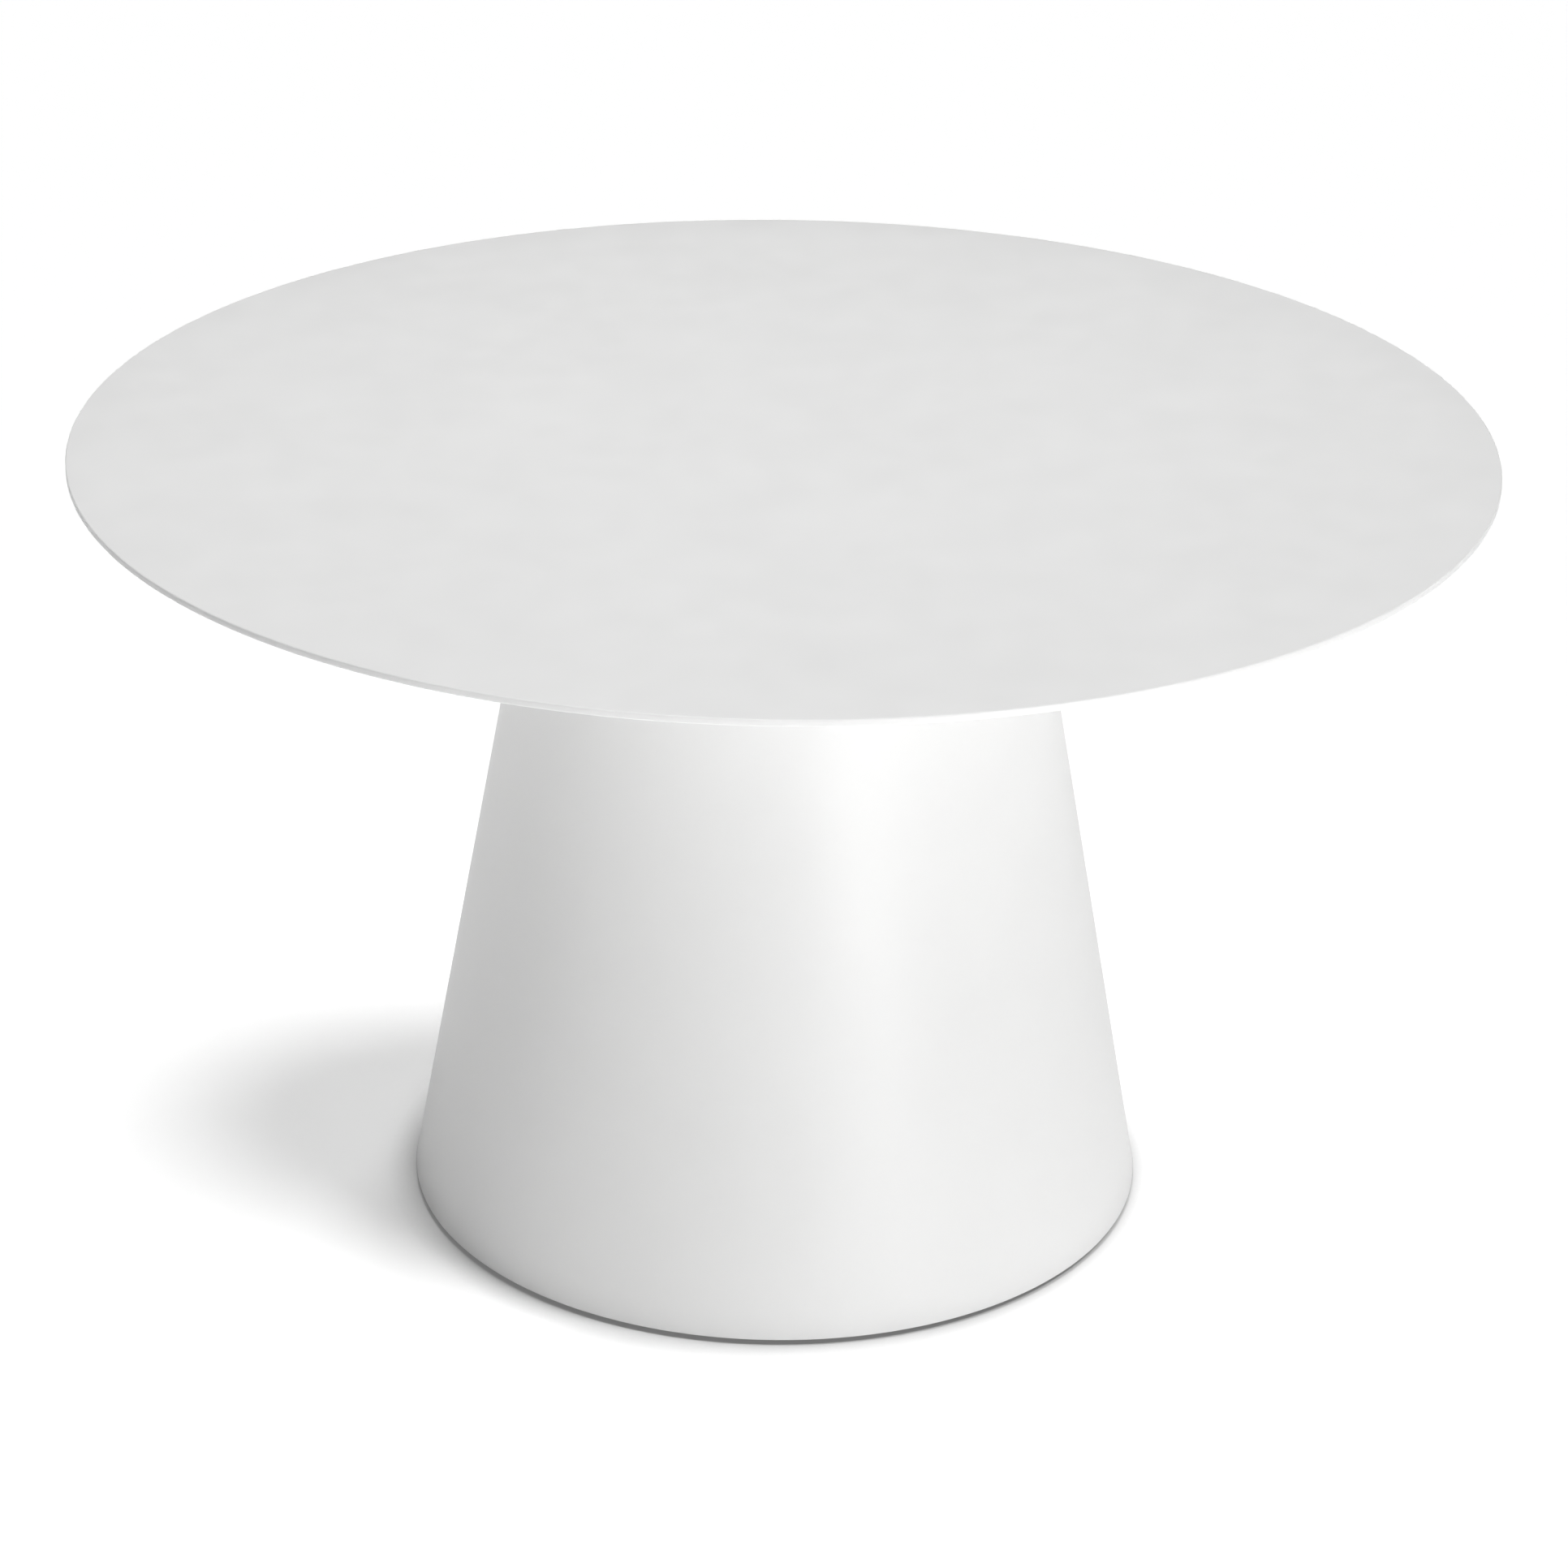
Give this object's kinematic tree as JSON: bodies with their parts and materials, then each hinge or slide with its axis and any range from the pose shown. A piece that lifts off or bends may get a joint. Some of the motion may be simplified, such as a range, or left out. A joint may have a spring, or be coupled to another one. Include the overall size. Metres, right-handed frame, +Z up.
{
  "type": "table",
  "caption": "Round pedestal table: a bevelled disc top bolted to a hollow cone of sheet steel, which stands on screw-adjustable levelling glides.",
  "frame": {"origin": "centre of the base on the floor, with the levelling glides screwed fully in", "axes": "+Z up along the axis of the cone and the top; +X from that axis towards glide_pad_1, a free choice on a round table"},
  "size_m": [1.27, 1.27, 0.737],
  "materials": {
    "top_lacquer": "satin",
    "powder_coat": "satin",
    "zinc_plate": "satin",
    "zinc_alloy": "satin",
    "nylon": "matte"
  },
  "bodies": {
    "table": {"table_top": "top_lacquer", "pedestal_shell": "powder_coat", "neck_plate": "powder_coat", "foot_ring": "powder_coat", "gusset_1": "powder_coat", "gusset_2": "powder_coat", "gusset_3": "powder_coat", "gusset_4": "powder_coat", "gusset_5": "powder_coat", "gusset_6": "powder_coat", "weld_nut_1": "powder_coat", "weld_nut_2": "powder_coat", "weld_nut_3": "powder_coat", "weld_nut_4": "powder_coat", "weld_nut_5": "powder_coat", "weld_nut_6": "powder_coat", "threaded_insert_1": "zinc_alloy", "threaded_insert_2": "zinc_alloy", "threaded_insert_3": "zinc_alloy", "threaded_insert_4": "zinc_alloy", "threaded_insert_5": "zinc_alloy", "threaded_insert_6": "zinc_alloy", "bolt_washer_1": "zinc_plate", "bolt_washer_2": "zinc_plate", "bolt_washer_3": "zinc_plate", "bolt_washer_4": "zinc_plate", "bolt_washer_5": "zinc_plate", "bolt_washer_6": "zinc_plate", "mounting_bolt_1": "zinc_plate", "mounting_bolt_2": "zinc_plate", "mounting_bolt_3": "zinc_plate", "mounting_bolt_4": "zinc_plate", "mounting_bolt_5": "zinc_plate", "mounting_bolt_6": "zinc_plate"},
    "glide_pad_1": {"glide_pad_1": "nylon"},
    "glide_pad_2": {"glide_pad_2": "nylon"},
    "glide_pad_3": {"glide_pad_3": "nylon"},
    "glide_pad_4": {"glide_pad_4": "nylon"},
    "glide_pad_5": {"glide_pad_5": "nylon"},
    "glide_pad_6": {"glide_pad_6": "nylon"},
    "glide_stud_1": {"glide_stud_1": "zinc_plate"},
    "glide_stud_2": {"glide_stud_2": "zinc_plate"},
    "glide_stud_3": {"glide_stud_3": "zinc_plate"},
    "glide_stud_4": {"glide_stud_4": "zinc_plate"},
    "glide_stud_5": {"glide_stud_5": "zinc_plate"},
    "glide_stud_6": {"glide_stud_6": "zinc_plate"}
  },
  "joints": [
    {"name": "glide_1_height", "type": "slide", "parent": "table", "child": "glide_pad_1", "axis": [0, 0, -1], "range_m": [0, 0.012]},
    {"name": "glide_1_turn", "type": "hinge", "parent": "glide_pad_1", "child": "glide_stud_1", "pos_m": [0.305, 0, 0.02], "axis": [0, 0, -1], "range_deg": [0, 2880]},
    {"name": "glide_2_height", "type": "slide", "parent": "table", "child": "glide_pad_2", "axis": [0, 0, -1], "range_m": [0, 0.012]},
    {"name": "glide_2_turn", "type": "hinge", "parent": "glide_pad_2", "child": "glide_stud_2", "pos_m": [0.1525, 0.26414, 0.02], "axis": [0, 0, -1], "range_deg": [0, 2880]},
    {"name": "glide_3_height", "type": "slide", "parent": "table", "child": "glide_pad_3", "axis": [0, 0, -1], "range_m": [0, 0.012]},
    {"name": "glide_3_turn", "type": "hinge", "parent": "glide_pad_3", "child": "glide_stud_3", "pos_m": [-0.1525, 0.26414, 0.02], "axis": [0, 0, -1], "range_deg": [0, 2880]},
    {"name": "glide_4_height", "type": "slide", "parent": "table", "child": "glide_pad_4", "axis": [0, 0, -1], "range_m": [0, 0.012]},
    {"name": "glide_4_turn", "type": "hinge", "parent": "glide_pad_4", "child": "glide_stud_4", "pos_m": [-0.305, 0, 0.02], "axis": [0, 0, -1], "range_deg": [0, 2880]},
    {"name": "glide_5_height", "type": "slide", "parent": "table", "child": "glide_pad_5", "axis": [0, 0, -1], "range_m": [0, 0.012]},
    {"name": "glide_5_turn", "type": "hinge", "parent": "glide_pad_5", "child": "glide_stud_5", "pos_m": [-0.1525, -0.26414, 0.02], "axis": [0, 0, -1], "range_deg": [0, 2880]},
    {"name": "glide_6_height", "type": "slide", "parent": "table", "child": "glide_pad_6", "axis": [0, 0, -1], "range_m": [0, 0.012]},
    {"name": "glide_6_turn", "type": "hinge", "parent": "glide_pad_6", "child": "glide_stud_6", "pos_m": [0.1525, -0.26414, 0.02], "axis": [0, 0, -1], "range_deg": [0, 2880]}
  ],
  "couplings": [
    {"joint": "glide_1_turn", "follows": "glide_1_height", "rad_per_m": 4188.8},
    {"joint": "glide_2_turn", "follows": "glide_2_height", "rad_per_m": 4188.8},
    {"joint": "glide_3_turn", "follows": "glide_3_height", "rad_per_m": 4188.8},
    {"joint": "glide_4_turn", "follows": "glide_4_height", "rad_per_m": 4188.8},
    {"joint": "glide_5_turn", "follows": "glide_5_height", "rad_per_m": 4188.8},
    {"joint": "glide_6_turn", "follows": "glide_6_height", "rad_per_m": 4188.8}
  ]
}
